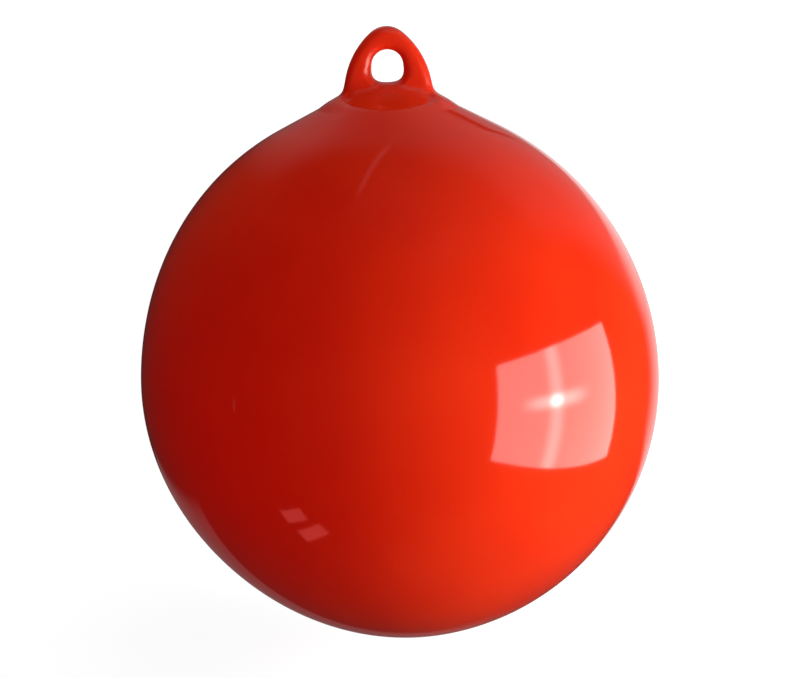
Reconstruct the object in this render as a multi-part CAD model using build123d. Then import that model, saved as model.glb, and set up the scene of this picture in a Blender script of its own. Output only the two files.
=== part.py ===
from build123d import *
import math
import os

# Anchor buoy: an inflatable ball of moulded vinyl with a solid rope eye in its top and a screw valve behind.
# Sizes in mm, slopes in degrees. The origin is on the ball's axis at the waterline and +Z is up.
# The outlines are drawn in the XZ plane with the equator of the ball at zero. The eye's hole runs along Y.

# ball
BALL_RADIUS = 190.0
SHOULDER_RADIUS = 1.0975 * BALL_RADIUS
SHOULDER_SLOPE = 28.0
WALL = 3.2
DRAUGHT = 60.0

# rope eye: an arch with a round crown and bowed flanks, round a hole whose sill is flat
HOLE_RADIUS = 0.06 * BALL_RADIUS
HOLE_ROUND = 0.545 * HOLE_RADIUS
MOUTH_LEAN = 12.0
SILL_DROP = 0.2
SILL_RISE = 3.6
EYE_THICK = 2.1 * HOLE_RADIUS
CROWN_BAR = 1.45 * HOLE_RADIUS
CROWN_RADIUS = 1.49 * HOLE_RADIUS
CROWN_ANGLE = 40.0
FLANK_RADIUS = 5.26 * HOLE_RADIUS
RIM_ROUND = 0.53 * HOLE_RADIUS
FOOT_ROUND = 0.7 * HOLE_RADIUS

# solid end of the ball round the eye, lapped under the edge of the shell
NECK_SLOPE = 22.0
NECK_MARGIN = 4.6
SEAT_BAND = 6.0
LIP_LAP = 12.0
LIP_THICK = 5.0
END_DEPTH = 12.0

# valve, its heights from the flat top of its boss
VALVE_CLEAR = 24.0
BOSS_RADIUS = 24.0
BOSS_PROUD = 1.2
BOSS_DEPTH = 9.0
BOSS_ROUND = 1.0
TUBE_RADIUS = 9.0
TUBE_LENGTH = 16.0
FLANGE_RADIUS = 16.0
FLANGE_THICK = 2.2
FLANGE_ROUND = 0.8
BORE_RADIUS = 6.0
HEAD_RADIUS = 11.0
HEAD_THICK = 4.0
HEAD_ROUND = 1.2
SHANK_LENGTH = 14.0
SLOT_WIDTH = 2.4
SLOT_DEPTH = 2.4
FIT_GAP = 0.1

SHOULDER_CENTRE = (BALL_RADIUS - SHOULDER_RADIUS, 0)


def rise(run, slope):
    """How far a straight line climbs over a run."""
    return run * math.tan(math.radians(slope))


def on_arc(centre, radius, slope):
    """The point of an arc where its tangent slopes down by so many degrees."""
    angle = math.radians(slope)
    return (centre[0] + radius * math.sin(angle), centre[1] + radius * math.cos(angle))


def arc(centre, radius, from_slope, to_slope):
    """An arc about a centre between two slopes."""
    slopes = (from_slope, (from_slope + to_slope) / 2, to_slope)
    return ThreePointArc(*(on_arc(centre, radius, slope) for slope in slopes))


def shoulder_height(radius, inset=0.0):
    """Height of the straight shoulder at a distance from the axis, inset from its outer face."""
    x, z = on_arc(SHOULDER_CENTRE, SHOULDER_RADIUS - inset, SHOULDER_SLOPE)
    return z + rise(x - radius, SHOULDER_SLOPE)


def ball_outline(inset):
    """Edges of half the ball from its bottom to the seat of the solid end, inset from its outer face."""
    bowl = arc((0, 0), BALL_RADIUS - inset, 180, 90)
    shoulder = arc(SHOULDER_CENTRE, SHOULDER_RADIUS - inset, 90, SHOULDER_SLOPE)
    slope = Line(shoulder @ 1, (seat_radius, shoulder_height(seat_radius, inset)))
    return [bowl, shoulder, slope]


def revolved(edges):
    """The solid that a closed outline in the XZ plane sweeps about Z."""
    return revolve(Plane.XZ * make_face(edges), Axis.Z)


def disc(plane, radius, low, high):
    """A round solid on a plane from one height to another."""
    return plane * Pos(0, 0, low) * extrude(Circle(radius), high - low)


def rounded_disc(plane, radius, low, high, rounding):
    """The same with the rim of its top rounded."""
    solid = disc(plane, radius, low, high)
    return fillet(solid.edges().sort_by(Axis(plane.origin, plane.z_dir))[-1], rounding)


# distances from the axis, from the eye outwards
flank_reach = on_arc((0, 0), FLANK_RADIUS - CROWN_RADIUS, CROWN_ANGLE)
eye_half = FLANK_RADIUS - flank_reach[0]
neck_radius = eye_half + FOOT_ROUND + NECK_MARGIN
seat_radius = neck_radius + SEAT_BAND
lip_radius = seat_radius + LIP_LAP
valve_out = lip_radius + BOSS_RADIUS + VALVE_CLEAR

# heights, from the neck up the eye
neck_z = shoulder_height(neck_radius)
face_z = neck_z + rise(neck_radius - EYE_THICK / 2, NECK_SLOPE)
sill_z = face_z + SILL_RISE
hole_z = sill_z + SILL_DROP + HOLE_RADIUS
eye_top = hole_z + HOLE_RADIUS + CROWN_BAR
under_z = neck_z - END_DEPTH

# ball shell
outer = ball_outline(0)
inner = ball_outline(WALL)
ends = [Line(outer[0] @ 0, inner[0] @ 0), Line(outer[-1] @ 1, inner[-1] @ 1)]
ball_shell = revolved(outer + inner + ends)

# boss of the valve, moulded in the shell
valve_slope = math.degrees(math.asin((valve_out - SHOULDER_CENTRE[0]) / SHOULDER_RADIUS))
valve_y, valve_z = on_arc(SHOULDER_CENTRE, SHOULDER_RADIUS + BOSS_PROUD, valve_slope)
valve = Plane((0, valve_y, valve_z), x_dir=(1, 0, 0), z_dir=(0, *on_arc((0, 0), 1, valve_slope)))
ball_shell += rounded_disc(valve, BOSS_RADIUS, -BOSS_DEPTH, 0, BOSS_ROUND)
ball_shell -= disc(valve, TUBE_RADIUS, -BOSS_DEPTH, 0)

# solid end of the ball
core = EYE_THICK / 2 - RIM_ROUND / 2
lip_z = shoulder_height(lip_radius, WALL)
end_outline = Polyline(
    (0, neck_z + rise(neck_radius - core, NECK_SLOPE)),
    (core, neck_z + rise(neck_radius - core, NECK_SLOPE)),
    (neck_radius, neck_z),
    (seat_radius, shoulder_height(seat_radius)),
    (seat_radius, shoulder_height(seat_radius, WALL)),
    (lip_radius, lip_z),
    (lip_radius, lip_z - LIP_THICK),
    (neck_radius, under_z),
    (0, under_z),
    close=True,
)
solid_end = revolved(end_outline.edges())

# arch of the eye, half of it drawn and mirrored
crown = (0, eye_top - CROWN_RADIUS)
flank = (-flank_reach[0], crown[1] - flank_reach[1])
foot_slope = 90 + math.degrees(math.asin((flank[1] - under_z) / FLANK_RADIUS))
crown_edge = arc(crown, CROWN_RADIUS, 0, CROWN_ANGLE)
flank_edge = arc(flank, FLANK_RADIUS, CROWN_ANGLE, foot_slope)
closing = Polyline(flank_edge @ 1, (0, under_z), (0, eye_top))
half_arch = Plane.XZ * make_face([crown_edge, flank_edge, *closing.edges()])
half_arch = extrude(half_arch, EYE_THICK / 2, both=True)
arch = half_arch + mirror(half_arch, Plane.YZ)
underside = arch.faces().sort_by(Axis.Z)[0].edges()
rims = [edge for face in arch.faces().filter_by(Axis.Y) for edge in face.edges() if edge not in underside]
arch = fillet(rims, RIM_ROUND)

rope_eye = solid_end + arch
rope_eye = fillet(new_edges(solid_end, arch, combined=rope_eye), FOOT_ROUND)

# hole of the eye, flared to both faces above its sill
land = EYE_THICK / 2 - HOLE_ROUND
flare_slope = 90 - MOUTH_LEAN
mouth = EYE_THICK / 2 + HOLE_ROUND / 2
flare_start = (land, HOLE_RADIUS)
flare_middle = on_arc((land, HOLE_RADIUS + HOLE_ROUND), -HOLE_ROUND, -flare_slope / 2)
flare_end = on_arc((land, HOLE_RADIUS + HOLE_ROUND), -HOLE_ROUND, -flare_slope)
flare_lip = (mouth, flare_end[1] + rise(mouth - flare_end[0], flare_slope))
flare = [
    ThreePointArc(flare_start, flare_middle, flare_end),
    *Polyline(flare_end, flare_lip, (mouth, 0), (0, 0), (0, HOLE_RADIUS), flare_start).edges(),
]
flare = revolve(Plane.YZ * make_face(flare), Axis.Y)
flare += mirror(flare, Plane.XZ)
above_sill = Pos(0, 0, sill_z - hole_z) * extrude(Rectangle(4 * mouth, 4 * mouth), 4 * mouth)
bore = Rot(90, 0, 0) * Cylinder(HOLE_RADIUS, 2 * mouth)
rope_eye -= Pos(0, 0, hole_z) * (bore + (flare & above_sill))

# valve: a flanged bush in the boss, closed by a slotted screw plug
valve_seat = rounded_disc(valve, FLANGE_RADIUS, 0, FLANGE_THICK, FLANGE_ROUND)
valve_seat += disc(valve, TUBE_RADIUS - FIT_GAP, -TUBE_LENGTH, 0)
valve_seat -= disc(valve, BORE_RADIUS, -TUBE_LENGTH, FLANGE_THICK)

head_z = FLANGE_THICK + HEAD_THICK
valve_plug = rounded_disc(valve, HEAD_RADIUS, FLANGE_THICK, head_z, HEAD_ROUND)
valve_plug += disc(valve, BORE_RADIUS - FIT_GAP, FLANGE_THICK - SHANK_LENGTH, FLANGE_THICK)
valve_plug -= valve * Pos(0, 0, head_z) * Box(2 * HEAD_RADIUS, SLOT_WIDTH, 2 * SLOT_DEPTH)

os.makedirs("parts", exist_ok=True)
nodes = {"ball_shell": ball_shell, "rope_eye": rope_eye, "valve_seat": valve_seat, "valve_plug": valve_plug}
for name, solid in nodes.items():
    export_step(Pos(0, 0, BALL_RADIUS - DRAUGHT) * solid, f"parts/{name}.step")
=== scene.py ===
import logging
import math
from dataclasses import dataclass
from enum import Enum
from typing import Any, Callable, Iterable

import bmesh
import bpy
from mathutils import Matrix, Quaternion, Vector

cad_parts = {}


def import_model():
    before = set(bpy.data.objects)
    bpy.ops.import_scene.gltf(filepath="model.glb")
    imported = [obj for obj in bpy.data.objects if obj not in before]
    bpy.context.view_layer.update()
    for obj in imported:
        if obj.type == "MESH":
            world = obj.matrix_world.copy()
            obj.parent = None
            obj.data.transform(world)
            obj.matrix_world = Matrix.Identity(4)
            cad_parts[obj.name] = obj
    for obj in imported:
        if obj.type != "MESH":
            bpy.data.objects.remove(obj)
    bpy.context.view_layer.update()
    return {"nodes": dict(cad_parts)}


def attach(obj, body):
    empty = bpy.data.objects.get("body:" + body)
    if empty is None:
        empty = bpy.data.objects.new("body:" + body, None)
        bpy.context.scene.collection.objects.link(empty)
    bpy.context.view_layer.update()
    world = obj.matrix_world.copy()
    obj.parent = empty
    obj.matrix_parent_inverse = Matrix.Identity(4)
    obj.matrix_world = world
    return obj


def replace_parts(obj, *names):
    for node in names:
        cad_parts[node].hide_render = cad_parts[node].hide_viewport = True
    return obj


LOG = logging.getLogger("anchor_buoy")

Pair = tuple[float, float]
Point = tuple[float, float, float]
Colour = tuple[float, float, float, float]
Test = Callable[[Vector], bool]

# lengths in metres, in the frame of the solids: +Z up through the eye, the waterline at zero
ORIGIN: Point = (0.0, 0.0, 0.0)
BALL_MIDDLE: Point = (0.0, 0.0, 0.130)
SIDES = (-1, 1)
HAIR = 1e-4
WELD_GAP = 1e-6
MIRROR_GAP = 1e-5
SMOOTH_ANGLE = math.radians(38)

WHITE: Colour = (1.0, 1.0, 1.0, 1.0)


class Slot(Enum):
    """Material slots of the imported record."""

    RED_VINYL = "red_vinyl"
    SEAT_VINYL = "seat_vinyl"
    PLUG_PLASTIC = "plug_plastic"


class Step(Enum):
    """How a ramp goes from stop to stop."""

    LINEAR = "LINEAR"
    EASE = "EASE"


class Lie(Enum):
    """How a ring lies, as the turn of its primitive."""

    LEVEL = (0.0, 0.0, 0.0)
    UPRIGHT = (math.pi / 2, 0.0, 0.0)


def from_axis(place: Vector) -> float:
    """Distance of a place from the buoy's axis."""
    return math.hypot(place.x, place.y)


def eased(share: float) -> float:
    """A share held between none and one, with soft ends."""
    share = min(1.0, max(0.0, share))
    return share * share * (3.0 - 2.0 * share)


class Wire:
    """A node's output socket that Python operators turn into Math nodes."""

    def __init__(self, bench: "ShaderBench", socket: bpy.types.NodeSocket) -> None:
        """Hold a socket and the bench that its node stands on."""
        self.bench = bench
        self.socket = socket

    def _math(self, operation: str, first: Any, second: Any) -> "Wire":
        """Add one Math node."""
        return self.bench.node("ShaderNodeMath", {"operation": operation}, {0: first, 1: second})

    def __add__(self, other: Any) -> "Wire":
        """Sum."""
        return self._math("ADD", self, other)

    def __radd__(self, other: Any) -> "Wire":
        """Sum with a number on the left."""
        return self._math("ADD", other, self)

    def __sub__(self, other: Any) -> "Wire":
        """Difference."""
        return self._math("SUBTRACT", self, other)

    def __rsub__(self, other: Any) -> "Wire":
        """Difference from a number."""
        return self._math("SUBTRACT", other, self)

    def __mul__(self, other: Any) -> "Wire":
        """Product."""
        return self._math("MULTIPLY", self, other)

    def __rmul__(self, other: Any) -> "Wire":
        """Product with a number on the left."""
        return self._math("MULTIPLY", other, self)

    def __pow__(self, other: Any) -> "Wire":
        """Power."""
        return self._math("POWER", self, other)

    def __rpow__(self, other: Any) -> "Wire":
        """Power of a number."""
        return self._math("POWER", other, self)

    def __abs__(self) -> "Wire":
        """Size without its sign."""
        return self._math("ABSOLUTE", self, 0.0)


@dataclass(frozen=True)
class Grain:
    """A soft random pattern: waves to the metre, octaves and the weight of the fine ones."""

    scale: float
    detail: float
    roughness: float = 0.5


class ShaderBench:
    """The node tree of one material or of the world."""

    def __init__(self, tree: bpy.types.NodeTree) -> None:
        """Start from an empty tree."""
        self.tree = tree
        self.tree.nodes.clear()

    def node(
        self, kind: str, settings: dict[str, Any], inputs: dict[Any, Any], output: Any = 0
    ) -> Wire:
        """Add a node.

        Args:
            kind: the node's type.
            settings: its properties, or a ramp's stops and step, set before its sockets.
            inputs: values or wires by socket name or number.
            output: the socket that the returned wire holds.

        Returns:
            The wire of that output, which is empty for a node that ends the tree.
        """
        made = self.tree.nodes.new(kind)
        for key, value in settings.items():
            if key == "stops":
                self._stops(made.color_ramp, value)
            elif key == "step":
                made.color_ramp.interpolation = value
            else:
                setattr(made, key, value)
        for key, value in inputs.items():
            if isinstance(value, Wire):
                self.tree.links.new(value.socket, made.inputs[key])
            else:
                made.inputs[key].default_value = value
        return Wire(self, made.outputs[output] if made.outputs else None)

    @staticmethod
    def _stops(ramp: bpy.types.ColorRamp, stops: list[Pair]) -> None:
        """Set a ramp's grey stops.

        Args:
            ramp: the ramp.
            stops: place and value of each stop.
        """
        while len(ramp.elements) < len(stops):
            ramp.elements.new(1.0)
        for element, (place, value) in zip(ramp.elements, stops):
            element.position = place
            element.color = (value, value, value, 1.0)

    def ramp(self, factor: Wire, stops: list[Pair], step: Step) -> Wire:
        """Map a value through grey stops."""
        return self.node("ShaderNodeValToRGB", {"stops": stops, "step": step.value}, {0: factor})

    def rise(self, factor: Wire, span: Pair, step: Step = Step.LINEAR) -> Wire:
        """Go from none to one over a span."""
        return self.ramp(factor, [(span[0], 0.0), (span[1], 1.0)], step)

    def fall(self, factor: Wire, span: Pair, step: Step = Step.EASE) -> Wire:
        """Go from one to none over a span."""
        return self.ramp(factor, [(span[0], 1.0), (span[1], 0.0)], step)

    def blend(self, factor: Wire, first: Colour, second: Colour) -> Wire:
        """Mix two colours by a factor."""
        inputs = {0: factor, 6: first, 7: second}
        return self.node("ShaderNodeMix", {"data_type": "RGBA"}, inputs, 2)

    def object_place(self) -> Wire:
        """Coordinates in the frame shared with the solids."""
        return self.node("ShaderNodeTexCoord", {}, {}, "Object")

    def split(self, place: Wire) -> tuple[Wire, ...]:
        """The X, Y and Z of a place."""
        parts = self.node("ShaderNodeSeparateXYZ", {}, {0: place})
        return tuple(Wire(self, socket) for socket in parts.socket.node.outputs)

    def noise(self, place: Wire, grain: Grain) -> Wire:
        """A grain's value at a place.

        Args:
            place: coordinates in metres.
            grain: the pattern.

        Returns:
            The value, about one half on the whole.
        """
        inputs = {
            "Vector": place,
            "Scale": grain.scale,
            "Detail": grain.detail,
            "Roughness": grain.roughness,
        }
        return self.node("ShaderNodeTexNoise", {}, inputs, "Fac")

    def squeezed(self, place: Wire, scale: Point, turn: Point) -> Wire:
        """Coordinates turned and scaled, for a pattern that runs one way."""
        inputs = {"Vector": place, "Scale": scale, "Rotation": turn}
        return self.node("ShaderNodeMapping", {}, inputs)

    def bump(self, relief: Wire, strength: float, depth: float) -> Wire:
        """The normal of a surface with a relief."""
        inputs = {"Strength": strength, "Distance": depth, "Height": relief}
        return self.node("ShaderNodeBump", {}, inputs)

    def clear(self) -> Wire:
        """A surface that isn't there."""
        return self.node("ShaderNodeBsdfTransparent", {}, {})

    def mix(self, cover: Wire, below: Wire, above: Wire) -> Wire:
        """One surface that covers another in part."""
        return self.node("ShaderNodeMixShader", {}, {0: cover, 1: below, 2: above})

    def output(self, shader: Wire, kind: str = "ShaderNodeOutputMaterial") -> None:
        """Join a shader to the tree's output."""
        self.node(kind, {}, {"Surface": shader})


def new_material(name: str) -> tuple[bpy.types.Material, ShaderBench]:
    """Begin a material.

    Args:
        name: its name.

    Returns:
        The material and the bench of its empty tree.
    """
    material = bpy.data.materials.new(name)
    material.use_nodes = True
    return material, ShaderBench(material.node_tree)


@dataclass(frozen=True)
class RedVinyl:
    """Glossy moulded vinyl, faintly uneven and lightly scuffed, that turns satin on the eye."""

    deep: Colour = (0.62, 0.016, 0.003, 1.0)
    warm: Colour = (0.74, 0.036, 0.007, 1.0)
    ior: float = 1.42
    gloss: float = 0.055
    cloud: Grain = Grain(5.0, 3.0)
    cloud_span: Pair = (0.3, 0.7)
    cloud_rough: float = 0.03
    scuff: Grain = Grain(1.0, 4.0, 0.6)
    scuff_squeeze: Point = (30.0, 30.0, 260.0)
    scuff_turn: Point = (0.5, 0.25, 0.0)
    scuff_span: Pair = (0.66, 0.74)
    scuff_rough: float = 0.05
    satin_span: Pair = (0.334, 0.344)
    satin_rough: float = 0.22
    swell: Grain = Grain(9.0, 1.0)
    swell_share: float = 0.5
    pore: Grain = Grain(240.0, 2.0)
    pore_share: float = 0.004
    bump_strength: float = 0.6
    bump_depth: float = 0.0008
    slot: Slot = Slot.RED_VINYL

    def make(self) -> bpy.types.Material:
        """Build the material.

        Returns:
            The material.
        """
        material, bench = new_material(f"{self.slot.value}_finish")
        place = bench.object_place()
        cloud = bench.noise(place, self.cloud)
        colour = bench.blend(bench.rise(cloud, self.cloud_span), self.deep, self.warm)
        scuff_place = bench.squeezed(place, self.scuff_squeeze, self.scuff_turn)
        scuffs = bench.rise(bench.noise(scuff_place, self.scuff), self.scuff_span)
        height = bench.split(place)[2]
        eye = bench.rise(height, self.satin_span, Step.EASE)
        rough = self.gloss + self.cloud_rough * cloud + self.scuff_rough * scuffs
        swell = bench.noise(place, self.swell) * self.swell_share
        pores = bench.noise(place, self.pore) * self.pore_share
        inputs = {
            "Base Color": colour,
            "Roughness": rough + self.satin_rough * eye,
            "Normal": bench.bump(swell + pores, self.bump_strength, self.bump_depth),
            "IOR": self.ior,
        }
        bench.output(bench.node("ShaderNodeBsdfPrincipled", {}, inputs))
        return material


@dataclass(frozen=True)
class SatinPlastic:
    """Black moulded plastic with a fine grain."""

    slot: Slot
    dark: Colour
    light: Colour
    rough: float
    rough_spread: float = 0.16
    ior: float = 1.5
    cloud: Grain = Grain(60.0, 3.0)
    pore: Grain = Grain(1400.0, 2.0)
    bump_strength: float = 0.35
    bump_depth: float = 0.0002

    def make(self) -> bpy.types.Material:
        """Build the material.

        Returns:
            The material.
        """
        material, bench = new_material(f"{self.slot.value}_finish")
        place = bench.object_place()
        cloud = bench.noise(place, self.cloud)
        pores = bench.noise(place, self.pore)
        inputs = {
            "Base Color": bench.blend(cloud, self.dark, self.light),
            "Roughness": self.rough + self.rough_spread * (cloud - 0.5),
            "Normal": bench.bump(pores, self.bump_strength, self.bump_depth),
            "IOR": self.ior,
        }
        bench.output(bench.node("ShaderNodeBsdfPrincipled", {}, inputs))
        return material


class Workpiece:
    """One mesh on the modelling bench, shaped by edit-mode operators."""

    def __init__(self, name: str) -> None:
        """Name the piece."""
        self.name = name
        self.obj: bpy.types.Object = None

    def start_ring(self, count: int, radius: float, centre: Point, lie: Lie) -> None:
        """Begin the piece with a ring of vertices and stay in edit mode.

        Args:
            count: vertices in the ring.
            radius: its radius.
            centre: its centre.
            lie: how it lies.
        """
        if bpy.context.object and bpy.context.object.mode != "OBJECT":
            bpy.ops.object.mode_set(mode="OBJECT")
        bpy.ops.object.select_all(action="DESELECT")
        bpy.ops.mesh.primitive_circle_add(
            vertices=count, radius=radius, location=centre, rotation=lie.value
        )
        self.obj = bpy.context.object
        self.obj.name = self.obj.data.name = self.name
        bpy.ops.object.transform_apply(location=True, rotation=True, scale=True)
        bpy.ops.object.mode_set(mode="EDIT")
        bpy.ops.mesh.select_mode(type="VERT")
        self.pick_all()

    def add_ring(self, count: int, radius: float, centre: Point, lie: Lie) -> None:
        """Add another ring to the same mesh, left selected alone.

        Args:
            count: vertices in the ring.
            radius: its radius.
            centre: its centre.
            lie: how it lies.
        """
        self.pick_none()
        bpy.ops.mesh.primitive_circle_add(
            vertices=count, radius=radius, location=centre, rotation=lie.value
        )

    def carry_ring(self, start: Pair, course: Iterable[Pair]) -> None:
        """Extrude the selected level ring along a course round the Z axis.

        Args:
            start: radius and height of the selected ring.
            course: radius and height of each ring that follows.
        """
        radius, height = start
        for next_radius, next_height in course:
            self.extrude((0.0, 0.0, next_height - height))
            factor = next_radius / radius
            self.stretch((factor, factor, 1.0), ORIGIN)
            radius, height = next_radius, next_height

    def pick(self, test: Test) -> None:
        """Select the vertices whose place passes a test, with what lies between them.

        Args:
            test: the test of a place.
        """
        mesh = bmesh.from_edit_mesh(self.obj.data)
        for part in (*mesh.faces, *mesh.edges, *mesh.verts):
            part.select = False
        for vert in mesh.verts:
            vert.select = bool(test(vert.co))
        mesh.select_flush_mode()
        bmesh.update_edit_mesh(self.obj.data)

    def pick_open_edges(self, test: Test) -> int:
        """Select the open edges whose ends pass a test.

        Args:
            test: the test of a place.

        Returns:
            The number of vertices on them.
        """
        self.pick_none()
        mesh = bmesh.from_edit_mesh(self.obj.data)
        for edge in mesh.edges:
            if edge.is_boundary and all(test(vert.co) for vert in edge.verts):
                edge.select_set(True)
        bmesh.update_edit_mesh(self.obj.data)
        return sum(vert.select for vert in mesh.verts)

    def pick_top(self) -> None:
        """Select the highest vertex."""
        top = max(vert.co.z for vert in bmesh.from_edit_mesh(self.obj.data).verts)
        self.pick(lambda co: co.z >= top)

    def pick_all(self) -> None:
        """Select everything."""
        bpy.ops.mesh.select_all(action="SELECT")

    def pick_none(self) -> None:
        """Select nothing."""
        bpy.ops.mesh.select_all(action="DESELECT")

    def settle(self, point: Point) -> None:
        """Bring what is selected together at a point."""
        self.stretch((0.0, 0.0, 0.0), point)

    def bisect(self, point: Point, normal: Point, drop_front: bool) -> None:
        """Cut what is selected by a plane and drop one side."""
        bpy.ops.mesh.bisect(
            plane_co=point, plane_no=normal, clear_outer=drop_front, clear_inner=not drop_front
        )

    def extrude(self, move: Point = ORIGIN) -> None:
        """Extrude what is selected."""
        bpy.ops.mesh.extrude_region_move(TRANSFORM_OT_translate={"value": move})

    def extrude_point(self, move: Point) -> None:
        """Extrude the selected vertex to an edge."""
        bpy.ops.mesh.extrude_vertices_move(TRANSFORM_OT_translate={"value": move})

    def shift(self, move: Point) -> None:
        """Move what is selected."""
        bpy.ops.transform.translate(value=move)

    def stretch(self, factors: Point, centre: Point) -> None:
        """Scale what is selected about a point."""
        bpy.ops.transform.resize(value=factors, center_override=centre)

    def delete_picked(self) -> None:
        """Delete the selected vertices."""
        bpy.ops.mesh.delete(type="VERT")

    def bridge(self, cuts: int) -> None:
        """Join the two selected loops by a strip."""
        bpy.ops.mesh.bridge_edge_loops(number_cuts=cuts, interpolation="LINEAR")

    def spin(self, steps: int) -> None:
        """Sweep everything once round the Z axis."""
        self.pick_all()
        bpy.ops.mesh.spin(steps=steps, angle=2 * math.pi, center=ORIGIN, axis=(0.0, 0.0, 1.0))

    def weld(self) -> None:
        """Merge doubled vertices and turn every face outwards."""
        self.pick_all()
        bpy.ops.mesh.remove_doubles(threshold=WELD_GAP)
        bpy.ops.mesh.normals_make_consistent(inside=False)

    def group_picked(self, name: str) -> None:
        """Keep the selected vertices as a named group."""
        bpy.ops.object.vertex_group_assign_new()
        self.obj.vertex_groups.active.name = name

    def group_by(self, name: str, weight: Callable[[Vector], float]) -> None:
        """Keep all vertices as a named group.

        Args:
            name: the group's name.
            weight: weight of a place in it.
        """
        bpy.ops.object.mode_set(mode="OBJECT")
        group = self.obj.vertex_groups.new(name=name)
        for vert in self.obj.data.vertices:
            group.add([vert.index], weight(vert.co), "REPLACE")
        bpy.ops.object.mode_set(mode="EDIT")

    def modify(self, kind: str, **settings: Any) -> None:
        """Add a modifier and apply it, then go back to edit mode.

        Args:
            kind: the modifier's type.
            settings: its properties.
        """
        bpy.ops.object.mode_set(mode="OBJECT")
        modifier = self.obj.modifiers.new(kind.lower(), kind)
        for key, value in settings.items():
            setattr(modifier, key, value)
        bpy.ops.object.modifier_apply(modifier=modifier.name)
        bpy.ops.object.mode_set(mode="EDIT")

    def subdivide(self, levels: int) -> None:
        """Round the piece by subdivision."""
        self.modify("SUBSURF", levels=levels, render_levels=levels)

    def swell(self, swelling: "Swelling") -> None:
        """Push the surface in or out where the blown vinyl isn't round.

        Args:
            swelling: the rise or flat.
        """
        self.group_by(swelling.name, swelling.weight)
        self.modify(
            "DISPLACE",
            direction="NORMAL",
            strength=swelling.height,
            mid_level=0.0,
            vertex_group=swelling.name,
        )

    def place(self, matrix: Matrix) -> None:
        """Set the whole mesh in its place.

        Args:
            matrix: the move and turn.
        """
        bpy.ops.object.mode_set(mode="OBJECT")
        self.obj.matrix_world = matrix
        bpy.ops.object.transform_apply(location=True, rotation=True, scale=True)
        bpy.ops.object.mode_set(mode="EDIT")

    def finish(self, material: bpy.types.Material, slot: Slot) -> bpy.types.Object:
        """Smooth the piece, dress it and fix it to the buoy.

        Args:
            material: its finish.
            slot: the record's slot for that finish; not used.

        Returns:
            The finished object.
        """
        bpy.ops.object.mode_set(mode="OBJECT")
        bpy.ops.object.shade_smooth_by_angle(angle=SMOOTH_ANGLE)
        self.obj.vertex_groups.clear()
        self.obj.data.materials.clear()
        self.obj.data.materials.append(material)
        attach(self.obj, "root")
        LOG.info("%s: %d faces", self.name, len(self.obj.data.polygons))
        return self.obj


@dataclass(frozen=True)
class Swelling:
    """A broad rise or flat in the blown vinyl, round a direction from the middle of the ball."""

    name: str
    towards: Point
    spread: float
    height: float
    eye_foot: float = 0.331
    eye_clear: float = 0.352

    def weight(self, place: Vector) -> float:
        """Share of the height at a place.

        Args:
            place: the place.

        Returns:
            The share, which eases to none at the spread's edge and up the eye.
        """
        angle = (place - Vector(BALL_MIDDLE)).angle(Vector(self.towards), math.pi)
        below_eye = (self.eye_clear - place.z) / (self.eye_clear - self.eye_foot)
        return eased(1.0 - angle / self.spread) * eased(below_eye)


SWELLINGS = (
    Swelling("high_side", (-0.61, 0.14, 0.78), math.radians(50), 0.0033),
    Swelling("flat_side", (-0.68, -0.13, -0.72), math.radians(52), -0.0040),
)


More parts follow.
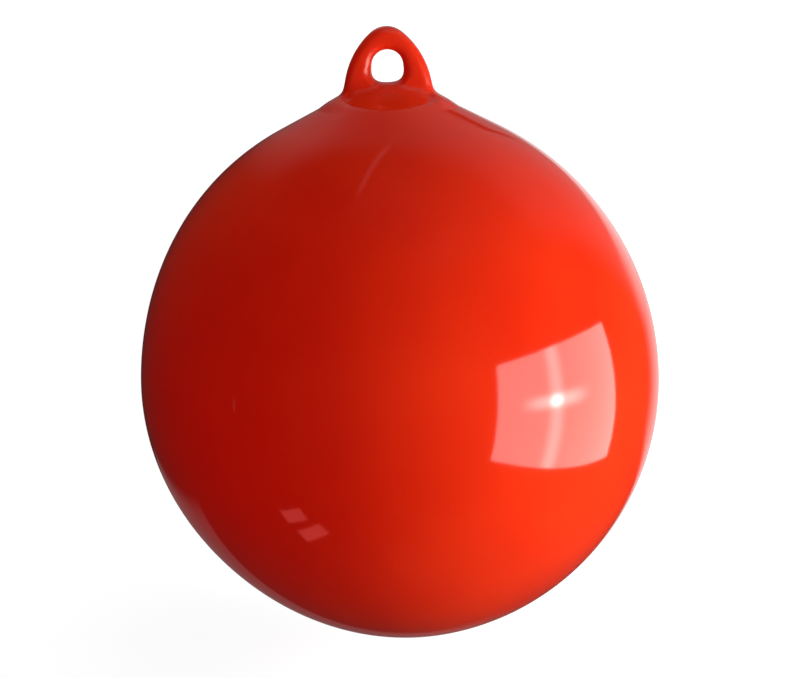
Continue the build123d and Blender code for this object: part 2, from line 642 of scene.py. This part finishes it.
@dataclass
class BallSkin:
    """The blown ball: a round bowl under a shoulder that runs straight up to the eye's seat."""

    radius: float = 0.190
    shoulder_radius: float = 0.208525
    shoulder_slope: float = math.radians(28)
    seat_radius: float = 0.0509183
    wall: float = 0.0032
    arc_count: int = 288
    slope_steps: int = 9
    turn_steps: int = 192

    def shoulder_end(self) -> Pair:
        """Distance from the axis and height where the shoulder turns straight.

        Returns:
            The distance and the height.
        """
        out = self.shoulder_radius * math.sin(self.shoulder_slope)
        up = self.shoulder_radius * math.cos(self.shoulder_slope)
        return self.radius - self.shoulder_radius + out, BALL_MIDDLE[2] + up

    def height(self, reach: float) -> float:
        """Height of the straight shoulder at a distance from the axis."""
        end_reach, end_height = self.shoulder_end()
        return end_height + (end_reach - reach) * math.tan(self.shoulder_slope)

    def bowl(self, piece: Workpiece) -> None:
        """Draw the outline of the bowl, a quarter of a ring.

        Args:
            piece: the piece to begin.
        """
        piece.start_ring(self.arc_count, self.radius, BALL_MIDDLE, Lie.UPRIGHT)
        piece.bisect(BALL_MIDDLE, (0.0, 0.0, 1.0), True)
        piece.pick_all()
        piece.bisect(BALL_MIDDLE, (1.0, 0.0, 0.0), False)

    def shoulder(self, piece: Workpiece) -> None:
        """Draw the outline of the shoulder up to the seat of the eye.

        Args:
            piece: the piece with the bowl.
        """
        middle = BALL_MIDDLE[2]
        centre = self.radius - self.shoulder_radius
        piece.add_ring(self.arc_count, self.shoulder_radius, (centre, 0.0, middle), Lie.UPRIGHT)
        piece.bisect(BALL_MIDDLE, (0.0, 0.0, 1.0), False)
        piece.pick(
            lambda co: co.z > middle - WELD_GAP
            and math.hypot(co.x - centre, co.z - middle) > self.shoulder_radius - HAIR
        )
        end_reach, end_height = self.shoulder_end()
        end = (end_reach, 0.0, end_height)
        tangent = (-math.cos(self.shoulder_slope), 0.0, math.sin(self.shoulder_slope))
        piece.bisect(end, tangent, True)
        piece.pick_top()
        piece.settle(end)
        run = (end_reach - self.seat_radius) / self.slope_steps
        for _ in range(self.slope_steps):
            piece.extrude_point((-run, 0.0, run * math.tan(self.shoulder_slope)))

    def build(self, material: bpy.types.Material) -> bpy.types.Object:
        """Model the ball and dress it.

        Args:
            material: the vinyl.

        Returns:
            The finished skin.
        """
        piece = Workpiece("ball_skin")
        self.bowl(piece)
        self.shoulder(piece)
        piece.weld()
        piece.spin(self.turn_steps)
        piece.weld()
        for swelling in SWELLINGS:
            piece.swell(swelling)
        piece.modify("SOLIDIFY", thickness=self.wall, offset=-1.0, use_even_offset=True)
        obj = piece.finish(material, Slot.RED_VINYL)
        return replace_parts(obj, "ball_shell")


@dataclass(frozen=True)
class ArchLoop:
    """A loop of the arch round its bore: its depth from the middle and its radius."""

    depth: float
    radius: float


@dataclass(frozen=True)
class LegColumn:
    """A column of the arch's leg between two angles from straight down, and its way out."""

    low: float
    high: float
    out: float
    down: float


@dataclass(frozen=True)
class NeckLoop:
    """A loop of the neck: its radius, and how far it rises beyond a distance to either side."""

    radius: float
    side: float
    rise: float


@dataclass
class EyeCap:
    """The solid end of the ball: a bored arch for the rope, on a neck that sits in the shell."""

    ball: BallSkin
    hole_radius: float = 0.0114
    hole_height: float = 0.36095
    columns: int = 20
    loops: tuple[ArchLoop, ...] = (
        ArchLoop(0.0056, 0.0114),
        ArchLoop(0.0105, 0.0140),
        ArchLoop(0.0119, 0.0180),
        ArchLoop(0.0119, 0.0215),
        ArchLoop(0.0098, 0.0260),
        ArchLoop(0.0060, 0.0272),
        ArchLoop(0.0000, 0.0272),
    )
    bore_reach: float = 0.0145
    corner_factors: tuple[float, ...] = (1.11, 1.15, 1.24, 1.21, 1.08)

    rim_reach: float = 0.02375
    face_reach: float = 0.0205
    foot_angle: float = 50.0
    legs: tuple[LegColumn, ...] = (
        LegColumn(50.0, 60.0, 0.0105, 0.0042),
        LegColumn(66.0, 78.0, 0.0049, 0.0016),
    )

    apron_angle: float = 40.0
    apron_spread: float = 1.4
    apron_drop: float = 0.0145
    apron_out: float = 0.0016
    corner_side: float = 0.014
    corner_depth: float = 0.0125
    corner_drop: float = 0.0035

    sill_height: float = 0.34805
    sill_reach: float = 0.0195
    lip_reach: float = 0.0200
    lip_depths: tuple[float, ...] = (0.0100, 0.0112, 0.0125)
    lip_drop: float = 0.0008

    neck_count: int = 24
    neck_loops: tuple[NeckLoop, ...] = (
        NeckLoop(0.0475, 0.036, 0.0006),
        NeckLoop(0.0442, 0.034, 0.0015),
    )
    hollow_side: float = 0.034
    hollow_inset: float = 1e-3
    hollow_in: float = 0.0005
    hollow_up: float = 0.0012

    free_foot_side: float = 0.0325
    free_foot_height: float = 0.3425
    free_sill_reach: float = 0.0170
    free_sill_angle: float = 85.0
    free_neck: float = 0.0425

    seat_depth: float = 0.00363
    under_course: tuple[Pair, ...] = ((0.0629, 0.31924), (0.0629, 0.31424), (0.0449, 0.32044))

    def reach(self, place: Vector) -> float:
        """Distance of a place from the bore's axis."""
        return math.hypot(place.x, self.hole_height - place.z)

    def angle(self, place: Vector) -> float:
        """Angle of a place round the bore from straight down, in degrees."""
        return abs(math.degrees(math.atan2(place.x, self.hole_height - place.z)))

    def arch(self, piece: Workpiece) -> None:
        """Lay out the front half of the arch as loops round the bore, with squarer lower corners.

        Args:
            piece: the piece to begin.
        """
        centre = (0.0, 0.0, self.hole_height)
        piece.start_ring(self.columns, self.hole_radius, centre, Lie.UPRIGHT)
        last = ArchLoop(0.0, self.hole_radius)
        for loop in self.loops:
            piece.extrude((0.0, last.depth - loop.depth, 0.0))
            factor = loop.radius / last.radius
            piece.stretch((factor, 1.0, factor), centre)
            last = loop
        step = 360 / self.columns
        for column, factor in enumerate(self.corner_factors):
            low, high = (column - 0.5) * step, (column + 0.5) * step
            piece.pick(lambda co: self.reach(co) < self.bore_reach and low < self.angle(co) < high)
            piece.stretch((factor, 1.0, factor), centre)

    def feet(self, piece: Workpiece) -> None:
        """Open the arch's underside and lead its legs out and down to the neck.

        Args:
            piece: the piece with the arch.
        """
        piece.pick(
            lambda co: self.reach(co) > self.rim_reach and self.angle(co) < self.foot_angle
        )
        piece.delete_picked()
        for side in SIDES:
            for leg in self.legs:
                piece.pick(
                    lambda co: co.x * side > 0
                    and self.reach(co) > self.face_reach
                    and leg.low < self.angle(co) < leg.high
                )
                piece.shift((side * leg.out, 0.0, -leg.down))

    def apron(self, piece: Workpiece) -> None:
        """Lay the face below the hole out over the neck, with its corners lower.

        Args:
            piece: the piece with the arch.
        """
        piece.pick(
            lambda co: self.reach(co) > self.face_reach and self.angle(co) < self.apron_angle
        )
        level = (0.0, 0.0, self.hole_height - self.apron_drop)
        piece.stretch((self.apron_spread, 1.0, 0.0), level)
        piece.shift((0.0, -self.apron_out, 0.0))
        for side in SIDES:
            piece.pick(lambda co: co.x * side > self.corner_side and co.y < -self.corner_depth)
            piece.shift((0.0, 0.0, -self.corner_drop))

    def sill(self, piece: Workpiece) -> None:
        """Flatten the sill of the hole and round its lip.

        Args:
            piece: the piece with the arch.
        """
        piece.pick(lambda co: co.z < self.sill_height and self.reach(co) < self.sill_reach)
        piece.stretch((1.0, 1.0, 0.0), (0.0, 0.0, self.sill_height))
        top = self.sill_height + HAIR
        for depth in self.lip_depths:
            piece.pick(
                lambda co: co.y < -depth and co.z < top and self.reach(co) < self.lip_reach
            )
            piece.shift((0.0, 0.0, -self.lip_drop))

    def neck(self, piece: Workpiece) -> None:
        """Add the round neck, join the arch's feet to it and fill the hollow beside them.

        The first subdivisions draw a ring in by a known share, so the neck starts wider by it.

        Args:
            piece: the piece with both halves of the arch.
        """
        counts = (self.neck_count, 2 * self.neck_count)
        share = math.prod((2 + math.cos(2 * math.pi / count)) / 3 for count in counts)
        seat = self.ball.seat_radius
        top = self.ball.height(seat)
        piece.add_ring(self.neck_count, seat / share, (0.0, 0.0, top), Lie.LEVEL)
        radii = [loop.radius for loop in self.neck_loops]
        piece.carry_ring((seat, top), [(radius, self.ball.height(radius)) for radius in radii])
        inner = radii[-1] / share
        joined = piece.pick_open_edges(lambda co: from_axis(co) < inner + HAIR)
        LOG.info("neck and feet: %d vertices joined", joined)
        piece.bridge(1)
        for side in SIDES:
            piece.pick(
                lambda co: co.x * side > self.hollow_side
                and from_axis(co) < inner - self.hollow_inset
            )
            piece.shift((-side * self.hollow_in, 0.0, self.hollow_up))
        for loop in self.neck_loops:
            radius = loop.radius / share
            piece.pick(lambda co: abs(co.x) > loop.side and abs(from_axis(co) - radius) < HAIR)
            piece.shift((0.0, 0.0, loop.rise))

    def on_solid(self, place: Vector) -> bool:
        """Whether a place is drawn onto the solid.

        Args:
            place: the place.

        Returns:
            False for the neck, the arch's feet and the hole's sill.
        """
        foot = abs(place.x) > self.free_foot_side and place.z < self.free_foot_height
        sill = self.reach(place) < self.free_sill_reach and self.angle(place) < self.free_sill_angle
        return from_axis(place) < self.free_neck and not foot and not sill

    def underside(self, piece: Workpiece) -> None:
        """Close the cap below, with the lip that lies under the shell's edge.

        Args:
            piece: the piece, open below its neck.
        """
        seat = self.ball.seat_radius
        top = self.ball.height(seat)
        piece.pick_open_edges(lambda co: True)
        piece.carry_ring((seat, top), ((seat, top - self.seat_depth), *self.under_course))
        piece.extrude()
        bpy.ops.mesh.merge(type="CENTER")

    def build(self, material: bpy.types.Material, solid: bpy.types.Object) -> bpy.types.Object:
        """Model the cap over its solid and dress it.

        Args:
            material: the vinyl.
            solid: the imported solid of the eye, whose surface the arch is drawn onto.

        Returns:
            The finished cap.
        """
        piece = Workpiece("eye_cap")
        self.arch(piece)
        self.feet(piece)
        self.apron(piece)
        self.sill(piece)
        piece.modify(
            "MIRROR", use_axis=(False, True, False), use_clip=True, merge_threshold=MIRROR_GAP
        )
        self.neck(piece)
        piece.weld()
        piece.subdivide(1)
        piece.pick(self.on_solid)
        piece.group_picked("arch")
        piece.modify(
            "SHRINKWRAP", target=solid, wrap_method="NEAREST_SURFACEPOINT", vertex_group="arch"
        )
        piece.subdivide(2)
        for swelling in SWELLINGS:
            piece.swell(swelling)
        self.underside(piece)
        piece.weld()
        obj = piece.finish(material, Slot.RED_VINYL)
        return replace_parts(obj, "rope_eye")


@dataclass
class Valve:
    """The air valve on the back of the shoulder: a moulded pad, a flanged seat and a slotted plug.

    The pad's course is radius and height from its bore out over top and skirt and back below.
    """

    foot: Point = (0.0, 0.11166, 0.29443)
    lean: float = math.radians(38.37)
    pad_count: int = 96
    pad_course: tuple[Pair, ...] = (
        (0.0090, -0.0004),
        (0.0094, 0.0000),
        (0.0150, 0.0000),
        (0.0222, 0.0000),
        (0.0232, -0.0003),
        (0.0238, -0.0010),
        (0.0242, -0.0020),
        (0.0250, -0.0030),
        (0.0268, -0.0041),
        (0.0290, -0.0056),
        (0.0240, -0.0090),
        (0.0090, -0.0090),
    )
    seat_finish: SatinPlastic = SatinPlastic(
        Slot.SEAT_VINYL, (0.014, 0.014, 0.015, 1.0), (0.03, 0.03, 0.032, 1.0), 0.5
    )
    plug_finish: SatinPlastic = SatinPlastic(
        Slot.PLUG_PLASTIC, (0.03, 0.03, 0.033, 1.0), (0.055, 0.055, 0.06, 1.0), 0.36
    )

    def build(self, material: bpy.types.Material) -> bpy.types.Object:
        """Model the moulded pad and dress it.

        Args:
            material: the vinyl of the ball.

        Returns:
            The finished pad.
        """
        piece = Workpiece("valve_pad")
        start, *course = self.pad_course
        piece.start_ring(self.pad_count, start[0], (0.0, 0.0, start[1]), Lie.LEVEL)
        piece.carry_ring(start, course)
        piece.pick_open_edges(lambda co: True)
        piece.bridge(0)
        piece.weld()
        piece.place(Matrix.Translation(self.foot) @ Matrix.Rotation(-self.lean, 4, "X"))
        return piece.finish(material, Slot.RED_VINYL)

    def dress(self, nodes: dict[str, bpy.types.Object]) -> None:
        """Give the seat and the plug their finishes.

        Args:
            nodes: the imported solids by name.
        """
        finishes = {"valve_seat": self.seat_finish, "valve_plug": self.plug_finish}
        for name, finish in finishes.items():
            nodes[name].data.materials.clear()
            nodes[name].data.materials.append(finish.make())
            LOG.info("%s: dressed", name)


@dataclass(frozen=True)
class Glow:
    """Cloth lit evenly from behind."""

    name: str
    strength: float
    tint: Colour = WHITE

    def make(self) -> bpy.types.Material:
        """Build the material.

        Returns:
            The material.
        """
        material, bench = new_material(self.name)
        bench.output(self.surface(bench))
        return material

    def surface(self, bench: ShaderBench) -> Wire:
        """The cloth's surface."""
        return self.light(bench, self.strength)

    def light(self, bench: ShaderBench, strength: Any) -> Wire:
        """Light of the cloth's tint at a strength, even or not."""
        return bench.node("ShaderNodeEmission", {}, {"Color": self.tint, "Strength": strength})


@dataclass(frozen=True)
class FadingGlow(Glow):
    """Cloth whose light fades out to its edges, from a solid share of its width and height."""

    solid: Pair = (0.5, 0.5)
    edge: float = 0.5

    def cover(self, bench: ShaderBench) -> Wire:
        """Share of the cloth at each place.

        Args:
            bench: the material's tree.

        Returns:
            The share, one within the solid part and none at the edge.
        """
        sides = zip(bench.split(bench.object_place()), self.solid)
        return math.prod(
            bench.fall(abs(side), (solid, self.edge)) for side, solid in sides if solid < self.edge
        )

    def surface(self, bench: ShaderBench) -> Wire:
        """The fading light, with what hangs behind it showing through."""
        light = self.light(bench, self.strength * self.cover(bench))
        return bench.node("ShaderNodeAddShader", {}, {0: light, 1: bench.clear()})


@dataclass(frozen=True)
class SoftFlag(FadingGlow):
    """Dark cloth with soft edges that hides what hangs behind it."""

    def surface(self, bench: ShaderBench) -> Wire:
        """The dark cloth, which thins out to its edges."""
        return bench.mix(self.cover(bench), bench.clear(), self.light(bench, self.strength))


@dataclass(frozen=True)
class LampGlow(Glow):
    """Cloth in front of a lamp: a bright core with an upright and a level band through it."""

    core: Pair = (0.057, 0.07)
    core_gain: float = 4.0
    core_reach: float = 0.075
    band_gain: float = 1.0
    upright_reach: float = 0.085
    level_gain: float = 1.6
    level_reach: float = 0.09
    level_ends: Pair = (0.08, 0.30)

    def surface(self, bench: ShaderBench) -> Wire:
        """The cloth with its core and its bands.

        Args:
            bench: the material's tree.

        Returns:
            The light.
        """
        across, upright, _ = bench.split(bench.object_place())
        side, rise = abs(across - self.core[0]), abs(upright - self.core[1])
        reach = (side * side + rise * rise) ** 0.5
        core = bench.fall(reach, (0.0, self.core_reach))
        band_up = bench.fall(side, (0.0, self.upright_reach))
        band_level = bench.fall(rise, (0.0, self.level_reach)) * bench.fall(side, self.level_ends)
        bands = band_up + self.level_gain * band_level
        gain = 1.0 + self.core_gain * core + self.band_gain * bands
        return self.light(bench, self.strength * gain)


@dataclass(frozen=True)
class Panel:
    """A flat cloth of the studio, its face towards a point."""

    name: str
    centre: Point
    facing: Point
    size: Pair
    glow: Glow
    spin: float = 0.0
    seen: bool = False
    mirrored: bool = True

    def hang(self) -> None:
        """Add the panel to the stage."""
        bpy.ops.object.select_all(action="DESELECT")
        bpy.ops.mesh.primitive_plane_add(size=1.0)
        obj = bpy.context.object
        obj.name = self.name
        aim = (Vector(self.facing) - Vector(self.centre)).normalized()
        turn = aim.to_track_quat("Z", "Y") @ Quaternion((0.0, 0.0, 1.0), self.spin)
        obj.matrix_world = Matrix.LocRotScale(Vector(self.centre), turn, Vector((*self.size, 1.0)))
        obj.visible_camera = self.seen
        obj.visible_glossy = self.mirrored
        obj.data.materials.append(self.glow.make())


ROSY: Colour = (1.0, 0.18, 0.14, 1.0)
CARD_ROSY = Glow("card_rosy", 3.2, (1.0, 0.2, 0.18, 1.0))
CARD_FACING: Point = (-0.07, -0.16, 0.065)

PANELS = (
    # the pale backdrop, which the rim of the ball mirrors
    Panel(
        "backdrop",
        (1.4, 3.6, -0.3),
        (1.4, 0.0, -0.3),
        (4.0, 2.4),
        FadingGlow("backdrop_white", 0.72, solid=(0.10, 0.35)),
        seen=True,
    ),
    # the key light on the right
    Panel(
        "softbox",
        (1.016, -0.398, -0.022),
        (0.085, -0.078, 0.152),
        (1.296, 0.796),
        LampGlow("softbox_cloth", 6.2, (1.0, 0.96, 0.92, 1.0)),
    ),
    # fills that the gloss doesn't show
    Panel(
        "fill",
        (-1.0, -1.75, 0.0),
        BALL_MIDDLE,
        (1.6, 1.6),
        Glow("fill_cloth", 2.25, ROSY),
        mirrored=False,
    ),
    Panel(
        "top_fill",
        (0.40, -0.30, 1.80),
        BALL_MIDDLE,
        (1.5, 1.5),
        Glow("top_cloth", 2.1),
        mirrored=False,
    ),
    Panel(
        "rear_fill",
        (-0.8, 2.2, 0.9),
        BALL_MIDDLE,
        (1.6, 1.6),
        Glow("rear_cloth", 2.0),
        mirrored=False,
    ),
    # a dim canopy over the shoulder, with a dark bar below it
    Panel(
        "canopy",
        (0.967, 2.499, 0.95),
        (0.837, 2.072, 0.056),
        (4.4, 5.19),
        FadingGlow("canopy_cloth", 0.30, (1.0, 0.82, 0.84, 1.0), solid=(0.25, 0.33)),
    ),
    Panel(
        "bar",
        (0.681, 1.919, 1.232),
        (0.551, 1.492, 0.338),
        (0.11, 1.75),
        SoftFlag("bar_dark", 0.02, solid=(0.08, 0.15)),
        math.radians(-3.7),
    ),
    # two pale strips and a dim ground, for thin marks on the shoulder, the left and below
    Panel(
        "rail",
        (-0.18, 0.20, 1.75),
        (-0.18, 0.20, 0.0),
        (0.085, 1.05),
        FadingGlow("rail_pale", 0.34, solid=(0.05, 0.2)),
        math.radians(24),
    ),
    Panel("rod", (-1.15, -0.40, 0.06), (-0.14, -0.1, 0.12), (0.014, 0.09), Glow("rod_pale", 0.6)),
    Panel(
        "ground",
        (-0.5, 2.0, -0.8),
        (-0.5, 2.0, 0.0),
        (1.8, 2.2),
        FadingGlow("ground_pale", 0.19, (1.0, 0.55, 0.55, 1.0), solid=(0.3, 0.5)),
    ),
    # a pair of cards low on the left
    Panel(
        "card_1",
        (-0.646, -0.434, -0.570),
        CARD_FACING,
        (0.165, 0.092),
        CARD_ROSY,
        math.radians(2),
    ),
    Panel(
        "card_2",
        (-0.530, -0.415, -0.665),
        CARD_FACING,
        (0.205, 0.090),
        CARD_ROSY,
        math.radians(-4),
    ),
)


@dataclass
class Studio:
    """A pale round floor, soft panels in a dim tent, a white background and a camera in front."""

    floor_radius: float = 0.32
    floor_sides: int = 128
    floor_height: float = -0.06
    floor_colour: Colour = (0.92, 0.92, 0.92, 1.0)
    floor_cover: float = 0.14
    floor_edge: float = 0.98
    tent_radius: float = 8.0
    tent_segments: int = 48
    tent_rings: int = 24
    tent_grey: float = 0.022
    rear_grey: float = 0.8
    grey_to_white: Pair = (0.25, 0.70)
    camera_distance: float = 2.0
    camera_rise: float = math.radians(10)
    camera_roll: float = math.radians(-2.3)
    camera_clip: Pair = (0.05, 50.0)
    aim_over: float = 0.0297
    lens: float = 122.2

    def floor(self) -> None:
        """Lay the round floor under the ball, which fades out to its edge."""
        bpy.ops.object.select_all(action="DESELECT")
        bpy.ops.mesh.primitive_circle_add(
            vertices=self.floor_sides,
            radius=self.floor_radius,
            fill_type="NGON",
            location=(0.0, 0.0, self.floor_height),
        )
        obj = bpy.context.object
        obj.name = "floor"
        material, bench = new_material("floor_pale")
        place = bench.object_place()
        frost = bench.node("ShaderNodeBsdfDiffuse", {}, {"Color": self.floor_colour})
        reach = bench.node("ShaderNodeVectorMath", {"operation": "LENGTH"}, {0: place}, "Value")
        stops = [(0.0, self.floor_cover), (self.floor_edge, 0.0)]
        cover = bench.ramp(reach * (1.0 / self.floor_radius), stops, Step.EASE)
        bench.output(bench.mix(cover, bench.clear(), frost))
        obj.data.materials.append(material)

    def tent(self) -> None:
        """Hang a dim cloth all round, out of the camera's sight, so that the gloss stays dark."""
        bpy.ops.object.select_all(action="DESELECT")
        bpy.ops.mesh.primitive_uv_sphere_add(
            segments=self.tent_segments, ring_count=self.tent_rings, radius=self.tent_radius
        )
        obj = bpy.context.object
        obj.name = "tent"
        obj.visible_camera = False
        obj.data.materials.append(Glow("tent_cloth", self.tent_grey).make())

    def background(self) -> None:
        """Make the world white towards the back of the studio and pale grey towards its front."""
        world = bpy.data.worlds.new("white_room")
        world.use_nodes = True
        bench = ShaderBench(world.node_tree)
        ahead = bench.split(bench.object_place())[1]
        grey_until, white_from = self.grey_to_white
        stops = [(grey_until, self.rear_grey), (white_from, 1.0)]
        level = bench.ramp(ahead * 0.5 + 0.5, stops, Step.EASE)
        plain = bench.node("ShaderNodeBackground", {}, {"Color": WHITE, "Strength": level})
        bench.output(plain, "ShaderNodeOutputWorld")
        bpy.context.scene.world = world

    def camera(self) -> None:
        """Set the camera in front of the buoy, a little above it."""
        back = Vector((0.0, -math.cos(self.camera_rise), math.sin(self.camera_rise)))
        up = Vector((0.0, math.sin(self.camera_rise), math.cos(self.camera_rise)))
        roll = Matrix.Rotation(self.camera_roll, 3, back)
        aim = Vector(BALL_MIDDLE) + (roll @ up) * self.aim_over
        data = bpy.data.cameras.new("camera")
        data.lens = self.lens
        data.clip_start, data.clip_end = self.camera_clip
        obj = bpy.data.objects.new("camera", data)
        bpy.context.scene.collection.objects.link(obj)
        turn = (roll @ (-back).to_track_quat("-Z", "Y").to_matrix()).to_quaternion()
        obj.matrix_world = Matrix.LocRotScale(aim + back * self.camera_distance, turn, None)
        bpy.context.scene.camera = obj

    def build(self) -> None:
        """Set up the floor, the lights, the background, the camera and the plain view."""
        self.floor()
        for panel in PANELS:
            panel.hang()
        self.background()
        self.tent()
        self.camera()
        bpy.context.scene.view_settings.view_transform = "Standard"
        LOG.info("studio: %d panels", len(PANELS))


def main() -> None:
    """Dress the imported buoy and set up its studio."""
    logging.basicConfig(level=logging.INFO, format="%(message)s")
    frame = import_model()
    vinyl = RedVinyl().make()
    ball = BallSkin()
    ball.build(vinyl)
    EyeCap(ball).build(vinyl, frame["nodes"]["rope_eye"])
    valve = Valve()
    valve.build(vinyl)
    valve.dress(frame["nodes"])
    Studio().build()


if __name__ == "__main__":
    main()
